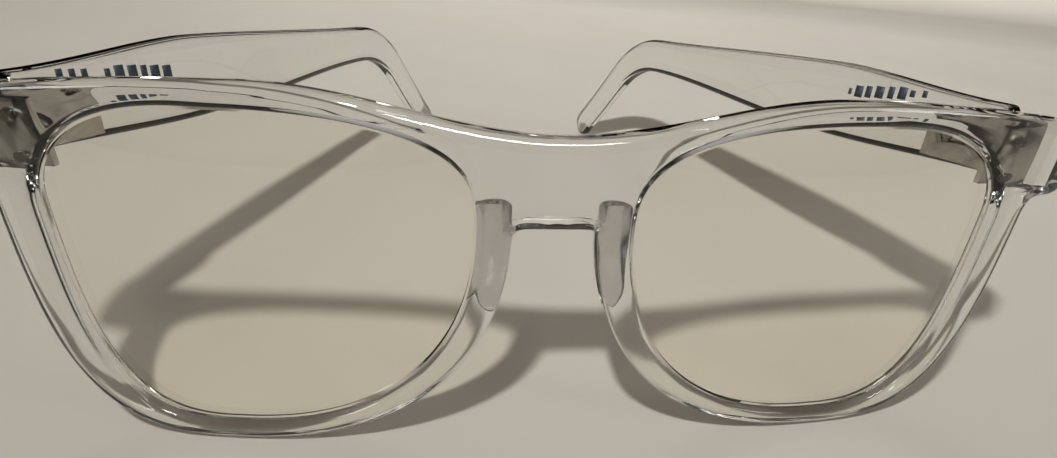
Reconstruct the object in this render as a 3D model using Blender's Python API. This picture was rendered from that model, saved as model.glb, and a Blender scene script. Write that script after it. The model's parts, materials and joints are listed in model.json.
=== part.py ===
"""Clear-framed spectacles: front, two lenses, nose pads, two hinged temples and their hardware.

Built upright as it stands on a table: front towards -Y, temples towards +Y, +Z up.
Sides are the wearer's: "right" is -X and "left" is +X.
"""

import math

import bmesh
import bpy
from mathutils import Matrix, Vector

MM = 0.001

# Front, in millimetres
LENS_W = 50.0          # lens opening width
LENS_H = 43.6          # lens opening height
BRIDGE_GAP = 19.2      # distance between the two openings
PEAK_SHARE = 0.634     # where the opening is tallest, from its nose side
WAIST_SHARE = 0.293    # where the opening is widest, from its top
OPENING_POWERS = (2.2, 2.7, 2.2, 3.0)  # upper outer, upper nose, lower nose, lower outer
RIM_LOW = 2.6
RIM_SIDE = 5.1
RIM_NOSE = 4.2
RIM_TOP = 2.8
BROW_DIP = 4.8         # how far the brow falls from its crest to the bridge
BROW_FALL = 2.2        # and from its crest to the end piece
BROW_CREST = 35.0      # distance of the crest from the middle
BRIDGE_H = 11.2
BRIDGE_CORNER = 1.3
END_W = 4.8            # how far the end piece stands out past the rim
END_H = 10.0
END_ROUND = 2.4
FRONT_T = 3.8
EDGE_ROUND = 0.75
WRAP = 0.0010          # backward sweep per millimetre squared from the middle

# Lenses
LENS_T = 1.8
LENS_BITE = 0.5        # how far the bevelled edge reaches into the groove
LENS_DOME = 1.3
FIT_GAP = 0.3          # between pieces that rest on one another

# Nose pads
PAD_H = 15.0
PAD_W = 4.0
PAD_D = 4.3

# Temples
TEMPLE_T = 3.8
TEMPLE_TIP_T = 3.0
TEMPLE_FLARE = 3.8     # extra height a third of the way back
TEMPLE_STEP = 0.7      # how far its top edge starts above the end piece
TEMPLE_RISE = 2.5      # how far the top edge climbs to the flare
TEMPLE_SINK = 1.0      # and sinks from there to the ear bend
FLARE_AT = 32.0
STRAIGHT_LEN = 93.0
TAIL_H = 9.0
EAR_RADIUS = 28.0
EAR_BEND_DEG = 45.0
EAR_LEN = 33.0
EAR_TURN_IN = 5.0

# Hinges
PIN_R = 0.7
PIN_CLEAR = 0.06
BARREL_R = 1.5
HINGE_H = 8.0
BARREL_GAP = 0.2
PLATE_T = 0.8
FRONT_PLATE_W = 5.8
TEMPLE_PLATE_L = 12.0
SCREW_R = 0.6
SCREW_HEAD_R = 1.1
SCREW_HEAD_H = 0.5
SCREW_CLEAR = 0.15
SCREW_LEN = 2.4
FOLD_AT_REST_DEG = 14.0

# Derived, in millimetres
NOSE_X = BRIDGE_GAP / 2
PEAK_X = NOSE_X + PEAK_SHARE * LENS_W
WAIST_Z = RIM_LOW + (1 - WAIST_SHARE) * LENS_H
OPEN_TOP = RIM_LOW + LENS_H
BROW_TOP = OPEN_TOP + RIM_TOP
BRIDGE_TOP = BROW_TOP - BROW_DIP
BRIDGE_LOW = BRIDGE_TOP - BRIDGE_H
RIM_X = NOSE_X + LENS_W + RIM_SIDE
END_X = RIM_X + END_W
END_TOP = BROW_TOP - BROW_FALL
END_LOW = END_TOP - END_H
TEMPLE_IN = END_X - TEMPLE_T
END_BLOCK_IN = TEMPLE_IN + 0.1
PIVOT_X = END_BLOCK_IN - FIT_GAP - BARREL_R
HINGE_Z = END_TOP - END_H / 2


def sweep_back(x):
    """How far the wrapped front sits behind its middle at x."""
    return WRAP * x * x


PIVOT_Y = sweep_back(PIVOT_X) + FRONT_T + FIT_GAP + PLATE_T + BARREL_R - 0.4
END_BACK = PIVOT_Y + BARREL_R + 0.4
TEMPLE_START = END_BACK + FIT_GAP


def clear_scene():
    for obj in list(bpy.data.objects):
        bpy.data.objects.remove(obj, do_unlink=True)
    for mesh in list(bpy.data.meshes):
        bpy.data.meshes.remove(mesh)


def material(name, color, metallic, roughness, transmission, ior):
    mat = bpy.data.materials.new(name)
    mat.use_nodes = True
    shader = mat.node_tree.nodes["Principled BSDF"]
    shader.inputs["Base Color"].default_value = color
    shader.inputs["Metallic"].default_value = metallic
    shader.inputs["Roughness"].default_value = roughness
    shader.inputs["Transmission Weight"].default_value = transmission
    shader.inputs["IOR"].default_value = ior
    mat.diffuse_color = color
    return mat


def object_of(bm, name):
    """A new object from bm, which stays in millimetres until place() scales it."""
    bmesh.ops.recalc_face_normals(bm, faces=bm.faces)
    mesh = bpy.data.meshes.new(name)
    bm.to_mesh(mesh)
    bm.free()
    obj = bpy.data.objects.new(name, mesh)
    bpy.context.scene.collection.objects.link(obj)
    return obj


def combine(obj, other, operation):
    """Joins or cuts with an exact Boolean, then removes the helper."""
    mod = obj.modifiers.new("cut", "BOOLEAN")
    mod.operation = operation
    mod.solver = "EXACT"
    mod.object = other
    graph = bpy.context.evaluated_depsgraph_get()
    mesh = bpy.data.meshes.new_from_object(obj.evaluated_get(graph))
    obj.modifiers.remove(mod)
    old = obj.data
    obj.data = mesh
    bpy.data.meshes.remove(old)
    helper_mesh = other.data
    bpy.data.objects.remove(other, do_unlink=True)
    bpy.data.meshes.remove(helper_mesh)
    return obj


def superellipse(out_r, nose_r, top_r, low_r, steps):
    """Closed outline around the opening's widest and tallest lines, from the outer side upwards."""
    points = []
    for i in range(steps):
        angle = 2 * math.pi * i / steps
        c = math.cos(angle)
        s = math.sin(angle)
        quarter = (0 if c >= 0 else 1) if s >= 0 else (2 if c < 0 else 3)
        power = 2 / OPENING_POWERS[quarter]
        rx = out_r if c >= 0 else nose_r
        rz = top_r if s >= 0 else low_r
        x = PEAK_X + rx * math.copysign(abs(c) ** power, c)
        z = WAIST_Z + rz * math.copysign(abs(s) ** power, s)
        points.append((x, z))
    return points


def opening(offset, steps=64):
    """The lens opening's outline, moved outwards by offset."""
    return superellipse(
        (1 - PEAK_SHARE) * LENS_W + offset,
        PEAK_SHARE * LENS_W + offset,
        WAIST_SHARE * LENS_H + offset,
        (1 - WAIST_SHARE) * LENS_H + offset,
        steps,
    )


def rim_outline(steps=96):
    return superellipse(
        (1 - PEAK_SHARE) * LENS_W + RIM_SIDE,
        PEAK_SHARE * LENS_W + RIM_NOSE,
        WAIST_SHARE * LENS_H + RIM_TOP,
        (1 - WAIST_SHARE) * LENS_H + RIM_LOW,
        steps,
    )


def brow(x):
    if x <= BROW_CREST:
        return BRIDGE_TOP + BROW_DIP * (1 - math.cos(math.pi * x / BROW_CREST)) / 2
    return BROW_TOP - BROW_FALL * ((x - BROW_CREST) / (END_X - BROW_CREST)) ** 2


def arc(cx, cz, radius, start, end, steps):
    """Points on an arc, angles in degrees."""
    points = []
    for i in range(steps + 1):
        angle = math.radians(start + (end - start) * i / steps)
        points.append((cx + radius * math.cos(angle), cz + radius * math.sin(angle)))
    return points


def half_outline():
    """The left half's outline, from the top of the bridge round to its underside."""
    turn = END_X - END_ROUND
    points = [(turn * i / 24, brow(turn * i / 24)) for i in range(24)]
    points += arc(turn, brow(turn) - END_ROUND, END_ROUND, 90, 0, 4)
    points += arc(END_X - 1.8, END_LOW + 1.8, 1.8, 0, -90, 3)
    points += arc(RIM_X + 1.6, END_LOW - 1.6, 1.6, 90, 180, 3)
    rim = rim_outline()
    count = len(rim)
    lower = [rim[-i % count] for i in range(1, count // 2)]
    points += [p for p in lower if p[1] < END_LOW - 2.2 and p[1] < BRIDGE_LOW - BRIDGE_CORNER]
    side_x = PEAK_X - PEAK_SHARE * LENS_W - RIM_NOSE
    last = points[-1]
    flat_x = side_x - BRIDGE_CORNER
    for i in range(1, 4):
        t = i / 4
        x = (1 - t) ** 2 * last[0] + 2 * t * (1 - t) * side_x + t * t * flat_x
        z = (1 - t) ** 2 * last[1] + 2 * t * (1 - t) * BRIDGE_LOW + t * t * BRIDGE_LOW
        points.append((x, z))
    points.append((flat_x, BRIDGE_LOW))
    points.append((flat_x / 2, BRIDGE_LOW))
    points.append((0.0, BRIDGE_LOW))
    return points


def add_loop(bm, outline, y):
    verts = [bm.verts.new((x, y, z)) for x, z in outline]
    return [bm.edges.new((a, b)) for a, b in zip(verts, verts[1:] + verts[:1])]


def bend(obj):
    for vert in obj.data.vertices:
        vert.co.y += sweep_back(vert.co.x)


def ring_solid(rings, name, close=True):
    """A solid skinned over rings of equally many points."""
    bm = bmesh.new()
    rows = [[bm.verts.new(p) for p in ring] for ring in rings]
    count = len(rows[0])
    for a, b in zip(rows, rows[1:]):
        for i in range(count):
            j = (i + 1) % count
            bm.faces.new((a[i], a[j], b[j], b[i]))
    if close:
        bm.faces.new(rows[0])
        bm.faces.new(rows[-1][::-1])
    return object_of(bm, name)


def lens_rings(bite, half, dome, inner):
    """Rings of a bevelled lens from its back middle over the edge to its front middle."""
    mid = FRONT_T / 2
    back = []
    front = []
    edge = opening(-FIT_GAP)
    cx = sum(p[0] for p in edge) / len(edge)
    cz = sum(p[1] for p in edge) / len(edge)
    for share in inner:
        lift = dome * (1 - share * share)
        ring = [(cx + (x - cx) * share, cz + (z - cz) * share) for x, z in edge]
        back.append([(x, mid + half - lift, z) for x, z in ring])
        front.append([(x, mid - half - lift, z) for x, z in ring])
    tip = [(x, mid, z) for x, z in opening(bite)]
    return back + [tip] + front[::-1]


def build_lens(side, sign):
    obj = ring_solid(lens_rings(LENS_BITE, LENS_T / 2, LENS_DOME, (0.3, 0.62, 0.86, 1.0)), f"lens_{side}")
    mirror_to(obj, sign)
    bend(obj)
    return obj


def groove_cutter(sign):
    """The lens's bevel moved out by the fit gap, as a disc that clears the opening."""
    slope = (LENS_BITE + FIT_GAP) / (LENS_T / 2)
    bite = LENS_BITE + FIT_GAP * math.hypot(1, slope)
    inset = FIT_GAP + 0.6
    half = (bite + inset) / slope
    mid = FRONT_T / 2
    rings = [
        [(x, mid + half, z) for x, z in opening(-inset)],
        [(x, mid, z) for x, z in opening(bite)],
        [(x, mid - half, z) for x, z in opening(-inset)],
    ]
    obj = ring_solid(rings, "groove_cutter")
    mirror_to(obj, sign)
    return obj


def mirror_to(obj, sign):
    """Turns a piece built on the left over to the wearer's right when sign is negative."""
    if sign > 0:
        return
    obj.data.transform(Matrix.Scale(-1, 4, Vector((1, 0, 0))))
    obj.data.flip_normals()


def box(name, low, high, bevel=0.0):
    bm = bmesh.new()
    bmesh.ops.create_cube(bm, size=1.0)
    for vert in bm.verts:
        for axis in range(3):
            vert.co[axis] = low[axis] if vert.co[axis] < 0 else high[axis]
    if bevel:
        bmesh.ops.bevel(bm, geom=list(bm.edges), offset=bevel, segments=2, profile=0.5, affect="EDGES")
    return object_of(bm, name)


def cylinder(name, start, end, radius, steps=24, end_radius=None):
    """A solid cylinder or cone between two points."""
    start = Vector(start)
    end = Vector(end)
    bm = bmesh.new()
    bmesh.ops.create_cone(
        bm,
        cap_ends=True,
        segments=steps,
        radius1=radius,
        radius2=radius if end_radius is None else end_radius,
        depth=(end - start).length,
    )
    turn = Vector((0, 0, 1)).rotation_difference(end - start).to_matrix().to_4x4()
    bm.transform(Matrix.Translation((start + end) / 2) @ turn)
    return object_of(bm, name)


def build_front():
    half = half_outline()
    outline = half + [(-x, z) for x, z in reversed(half[1:-1])]
    bm = bmesh.new()
    edges = add_loop(bm, outline, 0.0)
    hole = opening(0.0)
    edges += add_loop(bm, hole, 0.0)
    edges += add_loop(bm, [(-x, z) for x, z in hole], 0.0)
    bmesh.ops.triangle_fill(bm, edges=edges, use_beauty=True, normal=(0, -1, 0))
    made = bmesh.ops.extrude_face_region(bm, geom=list(bm.faces))
    back = [item for item in made["geom"] if isinstance(item, bmesh.types.BMVert)]
    bmesh.ops.translate(bm, vec=(0, FRONT_T, 0), verts=back)
    bmesh.ops.recalc_face_normals(bm, faces=bm.faces)
    sharp = [e for e in bm.edges if e.calc_face_angle(0) > 1.2 and abs(e.verts[0].co.y - e.verts[1].co.y) < 1e-6]
    bmesh.ops.bevel(bm, geom=sharp, offset=EDGE_ROUND, segments=2, profile=0.5, affect="EDGES")
    front = object_of(bm, "front_frame")
    for sign in (1, -1):
        combine(front, groove_cutter(sign), "DIFFERENCE")
    bend(front)
    for sign in (1, -1):
        root_y = sweep_back(TEMPLE_IN) + EDGE_ROUND + 0.6
        block = box(
            "end_block",
            (END_BLOCK_IN, root_y, END_LOW + 0.15),
            (END_X - 0.05, END_BACK, END_TOP - 0.25),
            0.7,
        )
        mirror_to(block, sign)
        combine(front, block, "UNION")
        for x, z in front_screw_points():
            y = sweep_back(x) + FRONT_T
            hole = cylinder("hole", (sign * x, y - SCREW_LEN + 0.6, z), (sign * x, y + 1, z), SCREW_R + SCREW_CLEAR, 16)
            combine(front, hole, "DIFFERENCE")
    return front


def front_screw_points():
    x = PIVOT_X - FRONT_PLATE_W * 0.6
    return [(x, HINGE_Z - 2.3), (x, HINGE_Z + 2.3)]


def temple_screw_points():
    return [(PIVOT_Y + 5.0, HINGE_Z), (PIVOT_Y + 9.4, HINGE_Z)]


def ease(t):
    t = min(max(t, 0.0), 1.0)
    return t * t * (3 - 2 * t)


def temple_station(s):
    """Centre, direction in the side view, height and thickness at length s along the temple."""
    arc_len = EAR_RADIUS * math.radians(EAR_BEND_DEG)
    total = STRAIGHT_LEN + arc_len + EAR_LEN
    sink = TEMPLE_SINK * ease((s - FLARE_AT) / (STRAIGHT_LEN - FLARE_AT))
    grow = TEMPLE_FLARE * ease(s / FLARE_AT) * (1 - ease((s - FLARE_AT) / (STRAIGHT_LEN - FLARE_AT)))
    base = END_H + (TAIL_H - END_H) * ease(s / STRAIGHT_LEN)
    height = base + grow
    top = END_TOP + TEMPLE_STEP + TEMPLE_RISE * ease(s / FLARE_AT) - sink
    turn = math.radians(EAR_BEND_DEG)
    pivot_z = top - TAIL_H / 2 - EAR_RADIUS
    if s <= STRAIGHT_LEN:
        y = s
        z = top - height / 2
        angle = 0.0
    elif s <= STRAIGHT_LEN + arc_len:
        angle = (s - STRAIGHT_LEN) / EAR_RADIUS
        y = STRAIGHT_LEN + EAR_RADIUS * math.sin(angle)
        z = pivot_z + EAR_RADIUS * math.cos(angle)
    else:
        angle = turn
        past = s - STRAIGHT_LEN - arc_len
        y = STRAIGHT_LEN + EAR_RADIUS * math.sin(turn) + past * math.cos(turn)
        z = pivot_z + EAR_RADIUS * math.cos(turn) - past * math.sin(turn)
    late = max(0.0, s - STRAIGHT_LEN * 0.6) / (total - STRAIGHT_LEN * 0.6)
    x = TEMPLE_IN + TEMPLE_T / 2 - EAR_TURN_IN * late * late
    thick = TEMPLE_T + (TEMPLE_TIP_T - TEMPLE_T) * ease(late)
    return Vector((x, TEMPLE_START + y, z)), angle, height, thick


def build_temple(side, sign):
    arc_len = EAR_RADIUS * math.radians(EAR_BEND_DEG)
    total = STRAIGHT_LEN + arc_len + EAR_LEN
    lengths = [0.0, 0.45, 1.2]
    lengths += [STRAIGHT_LEN * (i + 1) / 14 for i in range(14)]
    lengths += [STRAIGHT_LEN + arc_len * (i + 1) / 8 for i in range(8)]
    lengths += [STRAIGHT_LEN + arc_len + (EAR_LEN - 4.2) * (i + 1) / 4 for i in range(4)]
    lengths += [total - 4.2 * (1 - math.sin(math.radians(a))) for a in (22, 42, 60, 76, 86)]
    rings = []
    for s in lengths:
        centre, angle, height, thick = temple_station(s)
        start_in = 0.7 * (1 - min(s, 1.2) / 1.2) ** 2
        tip = max(0.0, s - (total - 4.2)) / 4.2
        shrink = math.sqrt(max(0.0, 1 - tip * tip))
        half_h = (height / 2 - start_in) * shrink
        half_t = (thick / 2 - start_in) * (0.35 + 0.65 * shrink)
        round_off = min(1.1, half_h * 0.6, half_t * 0.6)
        ring = []
        for cx, cz, first in ((1, 1, 0), (-1, 1, 90), (-1, -1, 180), (1, -1, 270)):
            for step in (0, 30, 60, 90):
                a = math.radians(first + step)
                dx = cx * (half_t - round_off) + round_off * math.cos(a)
                dz = cz * (half_h - round_off) + round_off * math.sin(a)
                ring.append(centre + Vector((dx, dz * math.sin(angle), dz * math.cos(angle))))
        rings.append(ring)
    obj = ring_solid(rings, f"temple_{side}")
    for y, z in temple_screw_points():
        hole = cylinder("hole", (TEMPLE_IN - 1, y, z), (TEMPLE_IN + SCREW_LEN - 0.6, y, z), SCREW_R + SCREW_CLEAR, 16)
        combine(obj, hole, "DIFFERENCE")
    mirror_to(obj, sign)
    return obj


def build_front_leaf(side, sign):
    bm = bmesh.new()
    low_x = PIVOT_X - FRONT_PLATE_W
    top = HINGE_Z + HINGE_H / 2 - 0.1
    bottom = HINGE_Z - HINGE_H / 2 + 0.1
    rows = []
    for i in range(5):
        x = low_x + (FRONT_PLATE_W + 0.3) * i / 4
        near = FRONT_T + FIT_GAP
        rows.append([(x, near, bottom), (x, near, top), (x, near + PLATE_T, top), (x, near + PLATE_T, bottom)])
    for row in rows:
        row[:] = [bm.verts.new(p) for p in row]
    for a, b in zip(rows, rows[1:]):
        for i in range(4):
            bm.faces.new((a[i], a[(i + 1) % 4], b[(i + 1) % 4], b[i]))
    bm.faces.new(rows[0])
    bm.faces.new(rows[-1][::-1])
    leaf = object_of(bm, f"front_hinge_leaf_{side}")
    bend(leaf)
    third = HINGE_H / 3
    for low, high in ((-HINGE_H / 2, -third / 2 - BARREL_GAP / 2), (third / 2 + BARREL_GAP / 2, HINGE_H / 2)):
        start = (PIVOT_X, PIVOT_Y, HINGE_Z + low)
        end = (PIVOT_X, PIVOT_Y, HINGE_Z + high)
        combine(leaf, cylinder("barrel", start, end, BARREL_R), "UNION")
    slot_half = third / 2 + BARREL_GAP / 2
    notch = box(
        "notch",
        (PIVOT_X - BARREL_R - 0.35, PIVOT_Y - BARREL_R - 0.35, HINGE_Z - slot_half),
        (PIVOT_X + 4, PIVOT_Y + 4, HINGE_Z + slot_half),
    )
    combine(leaf, notch, "DIFFERENCE")
    bore = cylinder(
        "bore",
        (PIVOT_X, PIVOT_Y, HINGE_Z - HINGE_H),
        (PIVOT_X, PIVOT_Y, HINGE_Z + HINGE_H),
        PIN_R + PIN_CLEAR,
    )
    combine(leaf, bore, "DIFFERENCE")
    for x, z in front_screw_points():
        y = sweep_back(x) + FRONT_T
        hole = cylinder("hole", (x, y - 1, z), (x, y + 3, z), SCREW_R + SCREW_CLEAR, 16)
        combine(leaf, hole, "DIFFERENCE")
    mirror_to(leaf, sign)
    return leaf


def build_temple_leaf(side, sign):
    outer = TEMPLE_IN - FIT_GAP
    inner = outer - PLATE_T
    start = PIVOT_Y + BARREL_R + 0.5
    leaf = box(
        f"temple_hinge_leaf_{side}",
        (inner, start, HINGE_Z - HINGE_H / 2 + 0.4),
        (outer, PIVOT_Y + TEMPLE_PLATE_L, HINGE_Z + HINGE_H / 2 - 0.4),
    )
    half = HINGE_H / 6 - BARREL_GAP / 2
    web = box("web", (inner, PIVOT_Y, HINGE_Z - half), (outer - 0.02, start + 1, HINGE_Z + half))
    combine(leaf, web, "UNION")
    barrel = cylinder(
        "barrel",
        (PIVOT_X, PIVOT_Y, HINGE_Z - half + 0.003),
        (PIVOT_X, PIVOT_Y, HINGE_Z + half - 0.003),
        BARREL_R,
    )
    combine(leaf, barrel, "UNION")
    bore = cylinder(
        "bore",
        (PIVOT_X, PIVOT_Y, HINGE_Z - HINGE_H),
        (PIVOT_X, PIVOT_Y, HINGE_Z + HINGE_H),
        PIN_R + PIN_CLEAR,
    )
    combine(leaf, bore, "DIFFERENCE")
    for y, z in temple_screw_points():
        hole = cylinder("hole", (inner - 1, y, z), (outer + 1, y, z), SCREW_R + SCREW_CLEAR, 16)
        combine(leaf, hole, "DIFFERENCE")
    mirror_to(leaf, sign)
    return leaf


def build_screw(name, seat, inward, shank_len, shank_r, head_r, head_h, sign):
    """A slotted screw: seat is the middle of the head's underside and inward the way it is driven."""
    seat = Vector(seat)
    inward = Vector(inward).normalized()
    screw = cylinder(name, seat - inward * head_h, seat, head_r * 0.86, 20, head_r)
    shank = cylinder("shank", seat - inward * head_h * 0.4, seat + inward * shank_len, shank_r, 24)
    combine(screw, shank, "UNION")
    size = 0.16
    slot_low = Vector((-size, -head_r * 1.5, 0))
    slot_high = Vector((size, head_r * 1.5, head_h))
    slot = box("slot", slot_low, slot_high)
    turn = Vector((0, 0, 1)).rotation_difference(-inward).to_matrix().to_4x4()
    slot.data.transform(Matrix.Translation(seat - inward * head_h * 0.55) @ turn)
    combine(screw, slot, "DIFFERENCE")
    mirror_to(screw, sign)
    return screw


def build_pad(side, sign):
    """A nose pad behind the rim, flat on top and tapering down the nose side."""
    rim = [p for p in rim_outline(192) if p[0] < PEAK_X]
    top = BRIDGE_LOW + 2.6
    rings = []
    for i in range(9):
        t = i / 8
        z = top - PAD_H * t
        near = min(rim, key=lambda p: abs(p[1] - min(z, WAIST_Z - 0.01)) + (0 if p[1] <= WAIST_Z else 99))
        width = PAD_W * (1 - 0.45 * t * t)
        depth = PAD_D * (0.62 + 0.38 * math.sin(math.pi * min(1, t * 1.25))) * (1 - 0.6 * t ** 4)
        x0 = near[0] - 0.1
        ring = []
        for k in range(11):
            a = math.pi * k / 10
            x = x0 + width / 2 - width / 2 * math.cos(a) + 0.12 * depth * math.sin(a)
            y = FRONT_T + FIT_GAP + depth * math.sin(a) ** 0.8 * (1 - 0.25 * (1 - math.cos(a)) / 2)
            ring.append((x, y, z))
        rings.append(ring)
    obj = ring_solid(rings, f"nose_pad_{side}")
    mirror_to(obj, sign)
    bend(obj)
    return obj


def pivot_of(sign):
    return Vector((sign * PIVOT_X, PIVOT_Y, HINGE_Z))


def fold(obj, sign):
    """Turns a piece of the temple in about its hinge by the angle it stands at."""
    pivot = pivot_of(sign)
    turn = Matrix.Rotation(sign * math.radians(FOLD_AT_REST_DEG), 4, "Z")
    obj.data.transform(Matrix.Translation(pivot) @ turn @ Matrix.Translation(-pivot))


def lowest(points, tilt):
    return min(-p.y * math.sin(tilt) + p.z * math.cos(tilt) for p in points)


def standing_tilt(front_points, temple_points):
    """The lean at which the rims and the temple tips both touch the table."""
    low = math.radians(-20)
    high = math.radians(30)
    for _ in range(60):
        middle = (low + high) / 2
        if lowest(temple_points, middle) > lowest(front_points, middle):
            low = middle
        else:
            high = middle
    return (low + high) / 2


def shade(obj, mat, degrees=40):
    obj.data.materials.clear()
    obj.data.materials.append(mat)
    for poly in obj.data.polygons:
        poly.use_smooth = True
    obj.data.set_sharp_from_angle(angle=math.radians(degrees))


def main():
    clear_scene()
    crystal = material("clear_frame_plastic", (0.93, 0.94, 0.95, 1.0), 0.0, 0.05, 1.0, 1.49)
    tinted = material("lens_plastic", (0.97, 0.95, 0.88, 1.0), 0.0, 0.02, 1.0, 1.5)
    padded = material("nose_pad_plastic", (0.85, 0.85, 0.86, 1.0), 0.0, 0.15, 1.0, 1.49)
    nickel = material("hinge_nickel", (0.72, 0.71, 0.69, 1.0), 1.0, 0.28, 0.0, 1.5)
    steel = material("screw_steel", (0.6, 0.6, 0.6, 1.0), 1.0, 0.3, 0.0, 1.5)

    still = {"front_frame": (build_front(), crystal)}
    moving = {}
    for side, sign in (("right", -1), ("left", 1)):
        still[f"lens_{side}"] = (build_lens(side, sign), tinted)
        still[f"nose_pad_{side}"] = (build_pad(side, sign), padded)
        still[f"front_hinge_leaf_{side}"] = (build_front_leaf(side, sign), nickel)
        pin = build_screw(
            f"hinge_screw_{side}",
            (PIVOT_X, PIVOT_Y, HINGE_Z + HINGE_H / 2 + SCREW_CLEAR),
            (0, 0, -1),
            HINGE_H + SCREW_CLEAR,
            PIN_R,
            BARREL_R * 0.85,
            0.7,
            sign,
        )
        still[f"hinge_screw_{side}"] = (pin, steel)
        for number, (x, z) in enumerate(front_screw_points(), 1):
            name = f"front_leaf_screw_{side}_{number}"
            y = sweep_back(x) + FRONT_T + FIT_GAP + PLATE_T + SCREW_CLEAR + 0.15
            screw = build_screw(name, (x, y, z), (0, -1, 0), SCREW_LEN, SCREW_R, SCREW_HEAD_R, SCREW_HEAD_H, sign)
            still[name] = (screw, steel)
        temple_pieces = {
            f"temple_{side}": (build_temple(side, sign), crystal),
            f"temple_hinge_leaf_{side}": (build_temple_leaf(side, sign), nickel),
        }
        for number, (y, z) in enumerate(temple_screw_points(), 1):
            name = f"temple_leaf_screw_{side}_{number}"
            x = TEMPLE_IN - FIT_GAP - PLATE_T - SCREW_CLEAR
            screw = build_screw(name, (x, y, z), (1, 0, 0), SCREW_LEN, SCREW_R, SCREW_HEAD_R, SCREW_HEAD_H, sign)
            temple_pieces[name] = (screw, steel)
        for obj, _ in temple_pieces.values():
            fold(obj, sign)
        moving[side] = temple_pieces

    front_points = [v.co for v in still["front_frame"][0].data.vertices]
    temple_points = [v.co for side in moving for v in moving[side][f"temple_{side}"][0].data.vertices]
    tilt = standing_tilt(front_points, temple_points)
    stand = Matrix.Rotation(-tilt, 4, "X")
    everything = [obj for obj, _ in still.values()]
    everything += [obj for side in moving for obj, _ in moving[side].values()]
    for obj in everything:
        obj.data.transform(stand)
    ys = [v.co.y for obj in everything for v in obj.data.vertices]
    zs = [v.co.z for obj in everything for v in obj.data.vertices]
    shift = Matrix.Translation((0, -(min(ys) + max(ys)) / 2, -min(zs)))
    to_metres = Matrix.Scale(MM, 4)
    for obj in everything:
        obj.data.transform(to_metres @ shift)

    for obj, mat in still.values():
        shade(obj, mat)
    axis = stand.to_3x3() @ Vector((0, 0, 1))
    for side, sign in (("right", -1), ("left", 1)):
        pivot = (to_metres @ shift @ stand) @ pivot_of(sign)
        for obj, mat in moving[side].values():
            obj.data.transform(Matrix.Translation(-pivot))
            obj.location = pivot
            shade(obj, mat)
        print(f"hinge {side}: pos {tuple(round(c, 6) for c in pivot)} axis {tuple(round(sign * c, 6) for c in axis)}")
        centre, _, height, _ = temple_station(42.0)
        turn = Matrix.Rotation(sign * math.radians(FOLD_AT_REST_DEG), 4, "Z")
        arm = turn @ Vector((sign * (TEMPLE_IN - PIVOT_X), centre.y - PIVOT_Y, centre.z - HINGE_Z))
        face = (to_metres @ shift @ stand) @ (pivot_of(sign) + arm)
        facing = stand.to_3x3() @ turn.to_3x3() @ Vector((-sign, 0, 0))
        print(f"inner face {side}: pos {tuple(round(c, 6) for c in face)} axis {tuple(round(c, 6) for c in facing)}")
    print(f"lean of the front {math.degrees(tilt):.2f} degrees")


main()
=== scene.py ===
import json
import math

import bmesh
import bpy
import numpy as np
from mathutils import Matrix, Vector


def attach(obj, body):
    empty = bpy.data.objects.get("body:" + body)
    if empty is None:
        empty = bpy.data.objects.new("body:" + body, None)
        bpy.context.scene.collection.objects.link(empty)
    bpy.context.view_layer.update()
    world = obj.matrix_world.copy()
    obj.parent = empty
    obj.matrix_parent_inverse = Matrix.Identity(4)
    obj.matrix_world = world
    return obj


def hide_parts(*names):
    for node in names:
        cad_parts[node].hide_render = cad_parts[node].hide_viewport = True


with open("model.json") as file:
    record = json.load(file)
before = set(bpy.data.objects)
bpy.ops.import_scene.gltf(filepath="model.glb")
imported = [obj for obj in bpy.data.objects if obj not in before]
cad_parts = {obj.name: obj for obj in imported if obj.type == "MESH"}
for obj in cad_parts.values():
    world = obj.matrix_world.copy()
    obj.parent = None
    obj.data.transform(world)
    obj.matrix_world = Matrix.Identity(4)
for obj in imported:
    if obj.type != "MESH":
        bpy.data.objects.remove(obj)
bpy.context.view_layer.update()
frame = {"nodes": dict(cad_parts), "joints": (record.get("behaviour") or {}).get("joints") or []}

# Clear full-rim spectacles standing open on a table. Shapes are worked out in millimetres
# on an upright, straight-armed pair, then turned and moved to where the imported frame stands.
mm = 0.001
sides = (("right", -1), ("left", 1))

# the front, the hinges and the arms come first, because the pieces' places follow from them
frontSizes = {
    "lensWidth": 50.0, "lensHeight": 43.6, "bridgeGap": 19.2,
    "peakShare": 0.634, "waistShare": 0.293,
    # corner fullness: upper outer, upper nose, lower nose, lower outer
    "powers": (2.2, 2.7, 2.2, 3.0),
    "rimLow": 2.6, "rimSide": 5.1, "rimNose": 4.2, "rimTop": 2.8,
    "browDip": 4.8, "browFall": 2.2, "browCrest": 35.0,
    "bridgeHeight": 11.2, "bridgeCorner": 1.3,
    "endWidth": 4.8, "endHeight": 10.0, "endRound": 2.4, "endFoot": 1.8, "endFillet": 1.6,
    "thick": 3.8, "edgeRound": 1.05, "innerRound": 0.75, "innerBackRound": 0.35,
    "crown": 0.22, "crownReach": 3.0, "wrap": 0.001,
    "grooveHalf": 0.63, "grooveDeep": 0.56, "rimFrom": 2.2,
    "spacing": 0.5, "midlineSteps": 22, "roundSteps": 7, "flatSteps": 9,
    "fineSteps": 2880, "rimSteps": 1440, "eased": 160, "sharpAt": 50.0,
}
hingeSizes = {
    "gap": 0.3, "plate": 0.8, "barrel": 1.5, "setIn": 0.4, "height": 8.0, "frontPlate": 5.8,
    "screwDrop": 2.3, "screwShare": 0.6, "screwLift": 0.02, "armScrewAt": (5.0, 9.4),
    "blockIn": 0.1, "blockPast": 0.4, "edge": 0.11, "edgeSteps": 3, "sharpAt": 20.0,
}
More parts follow.
